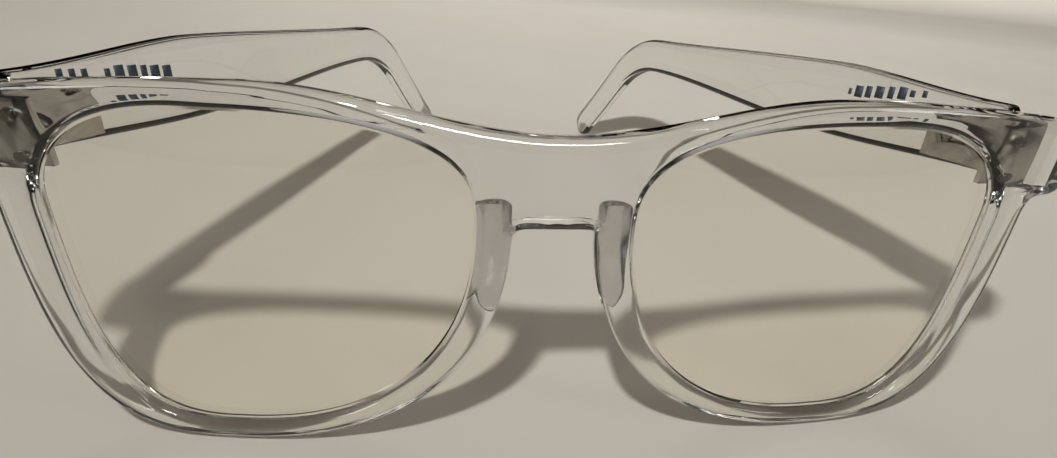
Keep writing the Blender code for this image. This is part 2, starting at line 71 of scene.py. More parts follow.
armSizes = {
    "thick": 3.8, "tipThick": 3.0, "flare": 3.8, "flareAt": 32.0,
    "step": 0.7, "rise": 2.5, "sink": 1.0, "straight": 93.0, "tailHeight": 9.0,
    "earRadius": 28.0, "earBend": 45.0, "earLength": 33.0, "turnIn": 5.0, "turnFrom": 0.6,
    "edgeRound": 1.25, "tipReach": 4.2, "startRound": 1.1, "spacing": 0.8, "sides": 56, "sharpAt": 50.0,
}
f = frontSizes
noseX = f["bridgeGap"] / 2
peakX = noseX + f["peakShare"] * f["lensWidth"]
waistZ = f["rimLow"] + (1 - f["waistShare"]) * f["lensHeight"]
browTop = f["rimLow"] + f["lensHeight"] + f["rimTop"]
bridgeTop = browTop - f["browDip"]
bridgeLow = bridgeTop - f["bridgeHeight"]
rimX = noseX + f["lensWidth"] + f["rimSide"]
endX = rimX + f["endWidth"]
endTop = browTop - f["browFall"]
endLow = endTop - f["endHeight"]
armIn = endX - armSizes["thick"]
pivotX = armIn + hingeSizes["blockIn"] - hingeSizes["gap"] - hingeSizes["barrel"]
plateBack = f["thick"] + hingeSizes["gap"] + hingeSizes["plate"]
pivotY = f["wrap"] * pivotX**2 + plateBack + hingeSizes["barrel"] - hingeSizes["setIn"]
hingeZ = endTop - f["endHeight"] / 2
endBack = pivotY + hingeSizes["barrel"] + hingeSizes["blockPast"]
armStart = endBack + hingeSizes["gap"]

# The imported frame's left hinge gives the lean, the place and how far the arms stand toed in.
leftHinge = next(j for j in frame["joints"] if j["name"] == "fold_left")
lean = math.atan2(leftHinge["axis"][1], leftHinge["axis"][2])
leanBack = Matrix.Rotation(-lean, 4, "X")
pivotPoint = leanBack @ (Vector((pivotX, pivotY, hingeZ)) * mm)
toRow = Matrix.Translation(Vector(leftHinge["pos_m"]) - pivotPoint) @ leanBack @ Matrix.Scale(mm, 4)
toeIn = -math.radians(leftHinge["range_deg"][0])


def foldedIn(sign):
    pivot = Vector((sign * pivotX, pivotY, hingeZ))
    return Matrix.Translation(pivot) @ Matrix.Rotation(sign * toeIn, 4, "Z") @ Matrix.Translation(-pivot)


print(f"frame loaded: {len(frame['nodes'])} nodes, lean {math.degrees(lean):.2f} degrees")


def addNode(tree, kind, settings={}, inputs={}):
    node = tree.nodes.new(kind)
    for name, value in settings.items():
        setattr(node, name, value)
    for key, value in inputs.items():
        if isinstance(value, bpy.types.NodeSocket):
            tree.links.new(value, node.inputs[key])
        else:
            node.inputs[key].default_value = value
    return node


def linear(hexColor):
    parts = [int(hexColor[i:i + 2], 16) / 255 for i in (1, 3, 5)]
    return tuple(c / 12.92 if c <= 0.04045 else ((c + 0.055) / 1.055) ** 2.4 for c in parts) + (1.0,)


def newMaterial(name):
    mat = bpy.data.materials.new(name)
    mat.use_nodes = True
    mat.node_tree.nodes.clear()
    return mat, mat.node_tree


def finishSurface(tree, shader):
    addNode(tree, "ShaderNodeOutputMaterial", inputs={"Surface": shader})


def clearPlastic(name, look):
    # Clear moulded plastic: bright gloss, dark refracted edges, a faint flow ripple and fine haze.
    mat, tree = newMaterial(name)
    place = addNode(tree, "ShaderNodeTexCoord").outputs["Object"]
    ripple = addNode(tree, "ShaderNodeTexNoise", inputs={
        "Vector": place, "Scale": 1 / (look["rippleMm"] * mm), "Detail": 1.0, "Roughness": 0.4})
    haze = addNode(tree, "ShaderNodeTexNoise", inputs={
        "Vector": place, "Scale": 1 / (look["hazeMm"] * mm), "Detail": 3.0, "Roughness": 0.6})
    rough = addNode(tree, "ShaderNodeMapRange", inputs={
        "Value": haze.outputs[0], "From Min": 0.35, "From Max": 0.75,
        "To Min": look["rough"][0], "To Max": look["rough"][1]})
    tint = addNode(tree, "ShaderNodeMix", {"data_type": "RGBA"}, {
        0: haze.outputs[0], 6: linear(look["color"]), 7: linear(look["colorTwo"])})
    bump = addNode(tree, "ShaderNodeBump", inputs={
        "Strength": look["rippleStrength"], "Distance": look["rippleHigh"] * mm,
        "Height": ripple.outputs[0]})
    body = addNode(tree, "ShaderNodeBsdfPrincipled", inputs={
        "Base Color": tint.outputs[2], "Roughness": rough.outputs[0], "IOR": look["ior"],
        "Transmission Weight": 1.0, "Normal": bump.outputs[0]})
    # light on its way to the table passes straight through and only picks up a tone
    lightThrough = addNode(tree, "ShaderNodeBsdfTransparent", inputs={"Color": linear(look["shadow"])})
    lightPath = addNode(tree, "ShaderNodeLightPath")
    both = addNode(tree, "ShaderNodeMixShader", inputs={
        0: lightPath.outputs["Is Shadow Ray"], 1: body.outputs[0], 2: lightThrough.outputs[0]})
    finishSurface(tree, both.outputs[0])
    return mat


def platedMetal(name, look):
    # Small stamped or turned steel parts: a cool grey shine broken by fine drawn lines and dull spots.
    mat, tree = newMaterial(name)
    place = addNode(tree, "ShaderNodeTexCoord").outputs["Object"]
    drawn = addNode(tree, "ShaderNodeMapping", inputs={"Vector": place, "Scale": look["stretch"]})
    lines = addNode(tree, "ShaderNodeTexNoise", inputs={
        "Vector": drawn.outputs[0], "Scale": 1 / (look["grainMm"] * mm), "Detail": 4.0, "Roughness": 0.6})
    spots = addNode(tree, "ShaderNodeTexNoise", inputs={
        "Vector": place, "Scale": 1 / (look["spotMm"] * mm), "Detail": 3.0})
    color = addNode(tree, "ShaderNodeMix", {"data_type": "RGBA"}, {
        0: spots.outputs[0], 6: linear(look["color"]), 7: linear(look["colorTwo"])})
    rough = addNode(tree, "ShaderNodeMapRange", inputs={
        "Value": spots.outputs[0], "From Min": 0.3, "From Max": 0.7,
        "To Min": look["rough"][0], "To Max": look["rough"][1]})
    bump = addNode(tree, "ShaderNodeBump", inputs={
        "Strength": 0.35, "Distance": 0.01 * mm, "Height": lines.outputs[0]})
    body = addNode(tree, "ShaderNodeBsdfPrincipled", inputs={
        "Base Color": color.outputs[2], "Metallic": 1.0, "Roughness": rough.outputs[0],
        "Normal": bump.outputs[0]})
    finishSurface(tree, body.outputs[0])
    return mat


frameLook = {
    "color": "#f7f8f8", "colorTwo": "#fbfbf9", "ior": 1.49, "rough": (0.0, 0.035),
    "rippleMm": 9.0, "rippleHigh": 0.04, "rippleStrength": 0.25, "hazeMm": 4.0, "shadow": "#8d8274",
}
lensLook = {
    "color": "#fefcf5", "colorTwo": "#fdfcf7", "ior": 1.5, "rough": (0.0, 0.01),
    "rippleMm": 18.0, "rippleHigh": 0.01, "rippleStrength": 0.1, "hazeMm": 9.0, "shadow": "#fefdf8",
}
padLook = {
    "color": "#d2d0d2", "colorTwo": "#dddbdb", "ior": 1.45, "rough": (0.12, 0.24),
    "rippleMm": 2.5, "rippleHigh": 0.03, "rippleStrength": 0.3, "hazeMm": 1.5, "shadow": "#aaa498",
}
hingeLook = {
    "color": "#c2beb7", "colorTwo": "#9b968f", "rough": (0.1, 0.2), "grainMm": 0.12, "spotMm": 1.6,
    "stretch": (1.0, 1.0, 0.12),
}
screwLook = {
    "color": "#a5a29d", "colorTwo": "#67635f", "rough": (0.16, 0.3), "grainMm": 0.1, "spotMm": 0.9,
    "stretch": (1.0, 1.0, 0.3),
}
inkLook = {"color": "#1f2c36", "colorTwo": "#46525b", "rough": 0.55, "speckMm": 0.35}
framePlastic = clearPlastic("injection_moulded_clear_polymer", frameLook)
lensPlastic = clearPlastic("coated_clear_lens_polymer", lensLook)
padPlastic = clearPlastic("soft_clear_pad_polymer", padLook)
hingeNickel = platedMetal("nickel_plated_steel", hingeLook)
screwSteel = platedMetal("turned_steel", screwLook)


def printedInk():
    # Pad-printed ink: nearly flat, cool dark grey, thinner where the pad lifted.
    mat, tree = newMaterial("pad_printed_ink")
    place = addNode(tree, "ShaderNodeTexCoord").outputs["Object"]
    speck = addNode(tree, "ShaderNodeTexNoise", inputs={
        "Vector": place, "Scale": 1 / (inkLook["speckMm"] * mm), "Detail": 3.0})
    color = addNode(tree, "ShaderNodeMix", {"data_type": "RGBA"}, {
        0: speck.outputs[0], 6: linear(inkLook["color"]), 7: linear(inkLook["colorTwo"])})
    body = addNode(tree, "ShaderNodeBsdfPrincipled", inputs={
        "Base Color": color.outputs[2], "Roughness": inkLook["rough"], "IOR": 1.45})
    finishSurface(tree, body.outputs[0])
    return mat


inkPrint = printedInk()
print("materials made")


def openingOutline(wider, steps):
    # Clockwise from the outer side, seen from the front with x to the right.
    angles = -2 * np.pi * np.arange(steps) / steps
    c, s = np.cos(angles), np.sin(angles)
    corners = [(c >= 0) & (s >= 0), (c < 0) & (s >= 0), (c < 0) & (s < 0)]
    power = np.select(corners, f["powers"][:3], f["powers"][3])
    reachX = np.where(c >= 0, 1 - f["peakShare"], f["peakShare"]) * f["lensWidth"]
    reachZ = np.where(s >= 0, f["waistShare"], 1 - f["waistShare"]) * f["lensHeight"]
    widerX, widerZ = wider if isinstance(wider, tuple) else (wider, wider)
    widerX = np.where(c >= 0, *widerX) if isinstance(widerX, tuple) else widerX
    widerZ = np.where(s >= 0, *widerZ) if isinstance(widerZ, tuple) else widerZ
    x = peakX + (reachX + widerX) * np.sign(c) * np.abs(c) ** (2 / power)
    z = waistZ + (reachZ + widerZ) * np.sign(s) * np.abs(s) ** (2 / power)
    return np.stack([x, z], axis=1)


def rimOutline(steps):
    return openingOutline(((f["rimSide"], f["rimNose"]), (f["rimTop"], f["rimLow"])), steps)


def lengthsAlong(points):
    return np.concatenate([[0.0], np.cumsum(np.linalg.norm(np.diff(points, axis=0), axis=1))])


def evenly(points, count):
    # count points evenly spaced along an open line, both ends kept
    along = lengthsAlong(points)
    want = np.linspace(0, along[-1], count)
    return np.stack([np.interp(want, along, points[:, k]) for k in (0, 1)], axis=1)


def brow(x):
    rise = bridgeTop + f["browDip"] * (1 - np.cos(np.pi * x / f["browCrest"])) / 2
    fall = browTop - f["browFall"] * ((x - f["browCrest"]) / (endX - f["browCrest"])) ** 2
    return np.where(x <= f["browCrest"], rise, fall)


def arc(cx, cz, radius, start, end, steps=12):
    angles = np.radians(np.linspace(start, end, steps))
    return np.stack([cx + radius * np.cos(angles), cz + radius * np.sin(angles)], axis=1)


def halfOutline():
    # From the top of the bridge over the brow, round the end piece and the rim,
    # to the bridge's underside.
    turn = endX - f["endRound"]
    xs = np.linspace(0, turn, 160)
    parts = [np.stack([xs, brow(xs)], axis=1)]
    parts.append(arc(turn, float(brow(np.array(turn))) - f["endRound"], f["endRound"], 90, 0)[1:])
    parts.append(arc(endX - f["endFoot"], endLow + f["endFoot"], f["endFoot"], 0, -90))
    parts.append(arc(rimX + f["endFillet"], endLow - f["endFillet"], f["endFillet"], 90, 180))
    rim = rimOutline(f["rimSteps"])[1:f["rimSteps"] // 2]
    rim = rim[(rim[:, 1] < endLow - f["rimFrom"]) & (rim[:, 1] < bridgeLow - f["bridgeCorner"])]
    parts.append(rim)
    sideX = noseX - f["rimNose"]
    flatX = sideX - f["bridgeCorner"]
    t = np.linspace(0, 1, 14)[1:, None]
    corner, flat = np.array([sideX, bridgeLow]), np.array([flatX, bridgeLow])
    parts.append((1 - t) ** 2 * rim[-1] + 2 * t * (1 - t) * corner + t**2 * flat)
    parts.append(np.stack([np.linspace(flatX, 0, 10)[1:], np.full(9, bridgeLow)], axis=1))
    return np.concatenate(parts)


def inwardNormals(points):
    # Right-hand normals of an open clockwise line; both ends meet the middle square on.
    step = np.gradient(points, axis=0)
    step[0], step[-1] = (1, 0), (-1, 0)
    step /= np.linalg.norm(step, axis=1)[:, None]
    return np.stack([step[:, 1], -step[:, 0]], axis=1)


def smoothLine(points, times):
    points = points.copy()
    for _ in range(times):
        points[1:-1] = points[1:-1] / 2 + (points[:-2] + points[2:]) / 4
    return points


print("outlines worked out")


def newObject(name, verts, faces, mat, matrix=None, smoothAngle=180.0):
    mesh = bpy.data.meshes.new(name)
    mesh.from_pydata([tuple(v) for v in verts], [], faces)
    bm = bmesh.new()
    bm.from_mesh(mesh)
    bmesh.ops.remove_doubles(bm, verts=bm.verts, dist=1e-5)
    bmesh.ops.recalc_face_normals(bm, faces=bm.faces)
    if matrix is not None:
        bm.transform(matrix)
    bm.to_mesh(mesh)
    bm.free()
    obj = bpy.data.objects.new(name, mesh)
    bpy.context.scene.collection.objects.link(obj)
    finishMesh(obj, mat, smoothAngle)
    return obj


def finishMesh(obj, mat, smoothAngle):
    obj.data.materials.clear()
    obj.data.materials.append(mat)
    # light bounced off the table skips the clear pieces: their own shadow colour already dims it
    obj.visible_diffuse = mat not in (framePlastic, lensPlastic, padPlastic)
    for poly in obj.data.polygons:
        poly.use_smooth = True
    if smoothAngle < 180:
        obj.data.set_sharp_from_angle(angle=math.radians(smoothAngle))


def evaluated(obj):
    # The object's mesh with its modifiers in it, and the modifiers gone.
    graph = bpy.context.evaluated_depsgraph_get()
    mesh = bpy.data.meshes.new_from_object(obj.evaluated_get(graph))
    old = obj.data
    obj.modifiers.clear()
    obj.data = mesh
    bpy.data.meshes.remove(old)
    mesh.name = obj.name
    return obj


def mirrored(verts, sign):
    return [(sign * x, y, z) for x, y, z in verts]


def sweepBack(x):
    return f["wrap"] * x * x


def ringFaces(rings, around, closedRing=True):
    faces = []
    for r in range(rings - 1):
        for i in range(around if closedRing else around - 1):
            j = (i + 1) % around
            faces.append((r * around + i, r * around + j, (r + 1) * around + j, (r + 1) * around + i))
    return faces


def frontSection():
    # One trip round the rim's section. Edge points: which edge, how far from it, how far behind
    # the front face. Flat points: share of the way across, front (0) or back (1).
    turn = np.radians(np.linspace(0, 90, f["roundSteps"]))
    quarter = [(1 - math.cos(a), 1 - math.sin(a)) for a in turn]
    roundIn = [(f["innerRound"] * d, f["innerRound"] * y) for d, y in quarter]
    roundBack = [(f["innerBackRound"] * d, f["innerBackRound"] * y) for d, y in quarter]
    roundOut = [(f["edgeRound"] * d, f["edgeRound"] * y) for d, y in quarter]
    flats = list(np.linspace(0, 1, f["flatSteps"])[1:-1])
    mid = f["thick"] / 2
    section = [("inner", 0, mid - f["grooveHalf"])]
    section += [("inner", d, y) for d, y in roundIn]
    section += [("flat", t, 0) for t in flats]
    section += [("outer", d, y) for d, y in reversed(roundOut)]
    section += [("outer", d, f["thick"] - y) for d, y in roundOut]
    section += [("flat", t, 1) for t in reversed(flats)]
    section += [("inner", d, f["thick"] - y) for d, y in reversed(roundBack)]
    section += [("inner", 0, mid + f["grooveHalf"]), ("inner", f["grooveDeep"], mid)]
    return section


def openingShare(points, dense):
    # How far round the opening each outline point's nearest opening point lies,
    # kept in order and eased.
    nearest = np.array([np.argmin(((dense - p) ** 2).sum(1)) for p in points]) / len(dense)
    nearest = np.unwrap(nearest, period=1.0)
    nearest = np.maximum.accumulate(nearest)
    count = len(points)
    ramp = nearest[0] + np.arange(count) / count
    extra = nearest - ramp
    for _ in range(f["eased"]):
        extra = extra / 2 + (np.roll(extra, 1) + np.roll(extra, -1)) / 4
    return ramp + extra


def buildFront():
    dense = openingOutline(0.0, f["fineSteps"])
    outline = halfOutline()
    count = int(lengthsAlong(outline)[-1] / f["spacing"])
    outline = smoothLine(evenly(outline, count), 3)
    inward = inwardNormals(outline)
    r = f["edgeRound"]
    midZ = np.linspace(bridgeLow + r, bridgeTop - r, f["midlineSteps"] + 2)[1:-1]
    midline = np.stack([np.zeros(len(midZ)), midZ], axis=1)
    stations = np.concatenate([outline, midline])
    share = openingShare(stations, dense) % 1.0
    closed = np.concatenate([dense, dense[:1]])
    along = np.arange(len(closed)) / len(dense)
    edge = np.stack([np.interp(share, along, closed[:, k]) for k in (0, 1)], axis=1)
    tangent = np.gradient(closed, axis=0)
    tangent /= np.linalg.norm(tangent, axis=1)[:, None]
    outX = np.interp(share, along, -tangent[:, 1])
    outZ = np.interp(share, along, tangent[:, 0])
    outward = np.stack([outX, outZ], axis=1)
    outward /= np.linalg.norm(outward, axis=1)[:, None]
    innerFlat = edge + outward * f["innerRound"]
    outerFlat = np.concatenate([outline + inward * r, midline])
    width = np.linalg.norm(outerFlat - innerFlat, axis=1)
    section = frontSection()
    verts, index = [], {}
    for i in range(len(stations)):
        onMidline = i >= count
        for k, (kind, a, y) in enumerate(section):
            fromEdge = None
            if kind == "inner":
                p = edge[i] + outward[i] * abs(a)
                fromEdge = abs(a) if y < f["edgeRound"] or y > f["thick"] - f["edgeRound"] else None
            elif kind == "flat":
                p = innerFlat[i] + (outerFlat[i] - innerFlat[i]) * a
                fromEdge = f["innerRound"] + width[i] * a
                fromEdge = fromEdge if onMidline else min(fromEdge, r + width[i] * (1 - a))
                y = y * f["thick"]
            elif onMidline:
                if abs(a - r) > 1e-9:
                    continue
                p = midline[i - count]
                fromEdge = 99.0
            else:
                p = outline[i] + inward[i] * a
                fromEdge = a if y < f["edgeRound"] or y > f["thick"] - f["edgeRound"] else None
            if fromEdge is not None:
                slope = f["crown"] * max(0.0, 1 - fromEdge / f["crownReach"]) ** 2
                y += slope if y < f["thick"] / 2 else -slope
            index[i, k] = len(verts)
            verts.append((p[0], y, p[1]))
    faces = []
    total = len(stations)
    for i in range(total):
        j = (i + 1) % total
        for k in range(len(section)):
            m = (k + 1) % len(section)
            corners = [(i, k), (j, k), (j, m), (i, m)]
            if all(c in index for c in corners):
                faces.append([index[c] for c in corners])
    halves = verts + mirrored(verts, -1)
    offset = len(verts)
    faces += [[c + offset for c in reversed(face)] for face in faces]
    front = newObject("clearFront", halves, faces, framePlastic)
    for _, sign in sides:
        joinTo(front, endBlock(sign))
    for vert in front.data.vertices:
        vert.co.y += sweepBack(vert.co.x)
    front.data.transform(toRow)
    finishMesh(front, framePlastic, f["sharpAt"])
    return front


blockSizes = {"behind": 0.3, "above": 0.15, "inside": 0.05, "below": 0.25, "edge": 0.85, "edgeSteps": 5}


def endBlock(sign):
    # The solid corner that carries the end piece back to the arm.
    b = blockSizes
    low = Vector((armIn + hingeSizes["blockIn"], f["edgeRound"] + b["behind"], endLow + b["above"]))
    high = Vector((endX - b["inside"], endBack - sweepBack(endX), endTop - b["below"]))
    bm = bmesh.new()
    bmesh.ops.create_cube(bm, size=1.0)
    for vert in bm.verts:
        vert.co = Vector([low[a] if vert.co[a] < 0 else high[a] for a in range(3)])
    bmesh.ops.bevel(
        bm, geom=list(bm.edges), offset=b["edge"], segments=b["edgeSteps"], profile=0.5, affect="EDGES")
    verts = [(sign * v.co.x, v.co.y, v.co.z) for v in bm.verts]
    faces = [[v.index for v in face.verts] for face in bm.faces]
    bm.free()
    return newObject("endBlock", verts, faces, framePlastic)


def joinTo(obj, other):
    mod = obj.modifiers.new("join", "BOOLEAN")
    mod.operation = "UNION"
    mod.solver = "EXACT"
    mod.object = other
    evaluated(obj)
    bpy.data.objects.remove(other, do_unlink=True)


clearFront = buildFront()
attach(clearFront, "front")
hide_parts("front_frame")
print(f"front: {len(clearFront.data.polygons)} faces")


lensSizes = {
    "thick": 1.8, "bite": 0.5, "dome": 1.3, "gap": 0.3,
    "around": 288, "rings": 26, "sharpAt": 40.0,
}


def buildLens(side, sign):
    around = lensSizes["around"]
    mid = f["thick"] / 2
    half = lensSizes["thick"] / 2
    edge = openingOutline(-lensSizes["gap"], around)
    tip = openingOutline(lensSizes["bite"], around)
    centre = edge.mean(axis=0)
    shares = np.sin(np.linspace(0.04, 1, lensSizes["rings"]) * math.pi / 2)
    verts = []
    for share in shares:
        lift = lensSizes["dome"] * (1 - share * share)
        verts += [(x, mid + half - lift, z) for x, z in centre + (edge - centre) * share]
    verts += [(x, mid, z) for x, z in tip]
    for share in shares[::-1]:
        lift = lensSizes["dome"] * (1 - share * share)
        verts += [(x, mid - half - lift, z) for x, z in centre + (edge - centre) * share]
    rings = 2 * len(shares) + 1
    faces = ringFaces(rings, around)
    for pole, ring in ((mid + half, 0), (mid - half, rings - 1)):
        verts.append((centre[0], pole - lensSizes["dome"], centre[1]))
        start = ring * around
        faces += [(start + i, start + (i + 1) % around, len(verts) - 1) for i in range(around)]
    verts = [(sign * x, y + sweepBack(x), z) for x, y, z in verts]
    return newObject(f"clearLens_{side}", verts, faces, lensPlastic, toRow, lensSizes["sharpAt"])


for side, sign in sides:
    lens = buildLens(side, sign)
    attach(lens, "front")
    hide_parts(f"lens_{side}")
print("lenses made")


padSizes = {
    "height": 15.0, "width": 4.0, "depth": 4.3, "above": 2.6, "outward": 0.1, "standOff": 0.15,
    "narrowing": 0.3, "roundFrom": 0.72, "thinning": 0.86, "topDepth": 0.62, "lean": 0.12, "slope": 0.25,
    "lip": 0.45, "lipShare": 0.22, "around": 40, "rings": 56, "sharpAt": 60.0,
}


def buildPad(side, sign):
    p = padSizes
    rim = rimOutline(f["fineSteps"])
    rim = rim[(rim[:, 0] < peakX) & (rim[:, 1] <= waistZ)]
    top = bridgeLow + p["above"]
    around = p["around"]
    verts = []
    for i in range(p["rings"] + 1):
        t = i / p["rings"]
        z = top - p["height"] * t
        near = rim[np.argmin(np.abs(rim[:, 1] - min(z, waistZ - 0.01)))]
        late = max(0.0, (t - p["roundFrom"]) / (1 - p["roundFrom"]))
        width = p["width"] * (1 - p["narrowing"] * t * t) * math.sqrt(1 - 0.85 * late * late)
        swell = p["topDepth"] + (1 - p["topDepth"]) * math.sin(math.pi * min(1, t * 1.25))
        depth = p["depth"] * swell * (1 - p["thinning"] * t * t)
        ends = min(t, 1 - t) * p["height"] / p["lip"]
        pinch = math.sqrt(max(0.0, 1 - (1 - min(1.0, ends)) ** 2)) * p["lipShare"] + 1 - p["lipShare"]
        for k in range(around):
            a = 2 * math.pi * k / around
            # round towards the face, flatter against the rim
            out = max(0.0, math.sin(a))
            back = out**0.8 if out > 0 else 0.06 * math.sin(a)
            across = -math.cos(a) * (1 if out > 0 else 0.97)
            x = near[0] - p["outward"] + width / 2
            x += (width / 2 * across + p["lean"] * depth * out) * pinch
            y = f["thick"] + p["standOff"] + depth * back * (1 - p["slope"] * (1 + across) / 2) * pinch
            verts.append((sign * x, y + sweepBack(x), z))
    rings = p["rings"] + 1
    faces = ringFaces(rings, around)
    faces.append(list(range(around)))
    faces.append([(rings - 1) * around + i for i in range(around)][::-1])
    return newObject(f"nosePad_{side}", verts, faces, padPlastic, toRow, p["sharpAt"])


for side, sign in sides:
    pad = buildPad(side, sign)
    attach(pad, "front")
    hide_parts(f"nose_pad_{side}")
print("nose pads made")


def newTree(name, numbers):
    tree = bpy.data.node_groups.new(name, "GeometryNodeTree")
    tree.interface.new_socket("Geometry", in_out="INPUT", socket_type="NodeSocketGeometry")
    for label, kind in numbers.items():
        tree.interface.new_socket(label, in_out="INPUT", socket_type=f"NodeSocket{kind}")
    tree.interface.new_socket("Material", in_out="INPUT", socket_type="NodeSocketMaterial")
    tree.interface.new_socket("Geometry", in_out="OUTPUT", socket_type="NodeSocketGeometry")
    return tree, addNode(tree, "NodeGroupInput").outputs


def endTree(tree, given, geometry):
    real = addNode(tree, "GeometryNodeRealizeInstances", inputs={"Geometry": geometry})
    painted = addNode(tree, "GeometryNodeSetMaterial", inputs={
        "Geometry": real.outputs[0], "Material": given["Material"]})
    addNode(tree, "NodeGroupOutput", inputs={"Geometry": painted.outputs[0]})


def grow(name, tree, points, attributes, values, mat, matrix, smoothAngle, joined=False):
    # Runs a tree on plain points, then keeps the result as a plain mesh in its place.
    mesh = bpy.data.meshes.new(name)
    links = [(i, i + 1) for i in range(len(points) - 1)] if joined else []
    mesh.from_pydata([tuple(p) for p in points], links, [])
    for label, rows in attributes.items():
        isVector = not np.isscalar(rows[0])
        layer = mesh.attributes.new(label, "FLOAT_VECTOR" if isVector else "FLOAT", "POINT")
        layer.data.foreach_set("vector" if isVector else "value", np.array(rows, np.float32).ravel())
    obj = bpy.data.objects.new(name, mesh)
    bpy.context.scene.collection.objects.link(obj)
    mod = obj.modifiers.new("grow", "NODES")
    mod.node_group = tree
    for item in tree.interface.items_tree:
        if item.in_out == "INPUT" and item.name in values:
            mod[item.identifier] = values[item.name]
        elif item.in_out == "INPUT" and item.name == "Material":
            mod[item.identifier] = mat
    evaluated(obj)
    for layer in [a.name for a in obj.data.attributes if a.name in attributes or a.name == "spot"]:
        obj.data.attributes.remove(obj.data.attributes[layer])
    bm = bmesh.new()
    bm.from_mesh(obj.data)
    bmesh.ops.recalc_face_normals(bm, faces=bm.faces)
    bm.transform(matrix)
    bm.to_mesh(obj.data)
    bm.free()
    finishMesh(obj, mat, smoothAngle)
    return obj


def sweptArmTree():
    # Carries a rounded bar along a centre line whose points say how high and thick it is there.
    tree, given = newTree("roundedArm", {"Sides": "Int"})
    line = addNode(tree, "GeometryNodeMeshToCurve", inputs={"Mesh": given["Geometry"]})
    circle = addNode(tree, "GeometryNodeCurvePrimitiveCircle", inputs={
        "Resolution": given["Sides"], "Radius": 1.0})
    at = addNode(tree, "GeometryNodeInputPosition").outputs[0]
    kept = {"data_type": "FLOAT_VECTOR", "domain": "POINT"}
    spotOf = addNode(tree, "GeometryNodeStoreNamedAttribute", kept, {
        "Geometry": circle.outputs[0], "Name": "spot", "Value": at})
    tube = addNode(tree, "GeometryNodeCurveToMesh", inputs={
        "Curve": line.outputs[0], "Profile Curve": spotOf.outputs[0], "Fill Caps": True})
    read = {}
    for label in ("centre", "up", "spot", "halfHigh", "halfThick", "rounding"):
        kind = "FLOAT_VECTOR" if label in ("centre", "up", "spot") else "FLOAT"
        named = addNode(tree, "GeometryNodeInputNamedAttribute", {"data_type": kind}, {"Name": label})
        read[label] = named.outputs[0]
    parts = addNode(tree, "ShaderNodeSeparateXYZ", inputs={0: read["spot"]})
    reach = []
    for half, part in (("halfThick", parts.outputs[0]), ("halfHigh", parts.outputs[1])):
        way = addNode(tree, "ShaderNodeMath", {"operation": "SIGN"}, {0: part})
        core = addNode(tree, "ShaderNodeMath", {"operation": "SUBTRACT"}, {
            0: read[half], 1: read["rounding"]})
        flat = addNode(tree, "ShaderNodeMath", {"operation": "MULTIPLY"}, {
            0: way.outputs[0], 1: core.outputs[0]})
        reach.append(addNode(tree, "ShaderNodeMath", {"operation": "MULTIPLY_ADD"}, {
            0: part, 1: read["rounding"], 2: flat.outputs[0]}).outputs[0])
    sideways = addNode(tree, "ShaderNodeCombineXYZ", inputs={0: reach[0]})
    upwards = addNode(tree, "ShaderNodeVectorMath", {"operation": "SCALE"}, {
        0: read["up"], "Scale": reach[1]})
    both = addNode(tree, "ShaderNodeVectorMath", {"operation": "ADD"}, {
        0: sideways.outputs[0], 1: upwards.outputs[0]})
    place = addNode(tree, "ShaderNodeVectorMath", {"operation": "ADD"}, {
        0: both.outputs[0], 1: read["centre"]})
    moved = addNode(tree, "GeometryNodeSetPosition", inputs={
        "Geometry": tube.outputs[0], "Position": place.outputs[0]})
    endTree(tree, given, moved.outputs[0])
    return tree


def ease(t):
    t = min(max(t, 0.0), 1.0)
    return t * t * (3 - 2 * t)


def armStation(s):
    # Centre, bend angle, height and thickness of the left arm at length s from its hinge end.
    a = armSizes
    arcLength = a["earRadius"] * math.radians(a["earBend"])
    total = a["straight"] + arcLength + a["earLength"]
    settle = ease((s - a["flareAt"]) / (a["straight"] - a["flareAt"]))
    flare = a["flare"] * ease(s / a["flareAt"]) * (1 - settle)
    height = f["endHeight"] + (a["tailHeight"] - f["endHeight"]) * ease(s / a["straight"]) + flare
    top = endTop + a["step"] + a["rise"] * ease(s / a["flareAt"]) - a["sink"] * settle
    centreZ = top - a["tailHeight"] / 2 - a["earRadius"]
    bend = min(max(0.0, s - a["straight"]) / a["earRadius"], math.radians(a["earBend"]))
    past = max(0.0, s - a["straight"] - arcLength)
    y, z = s, top - height / 2
    if s > a["straight"]:
        y = a["straight"] + a["earRadius"] * math.sin(bend) + past * math.cos(bend)
        z = centreZ + a["earRadius"] * math.cos(bend) - past * math.sin(bend)
    turnFrom = a["straight"] * a["turnFrom"]
    late = max(0.0, s - turnFrom) / (total - turnFrom)
    x = armIn + a["thick"] / 2 - a["turnIn"] * late * late
    thick = a["thick"] + (a["tipThick"] - a["thick"]) * ease(late)
    return Vector((x, armStart + y, z)), bend, height, thick, total


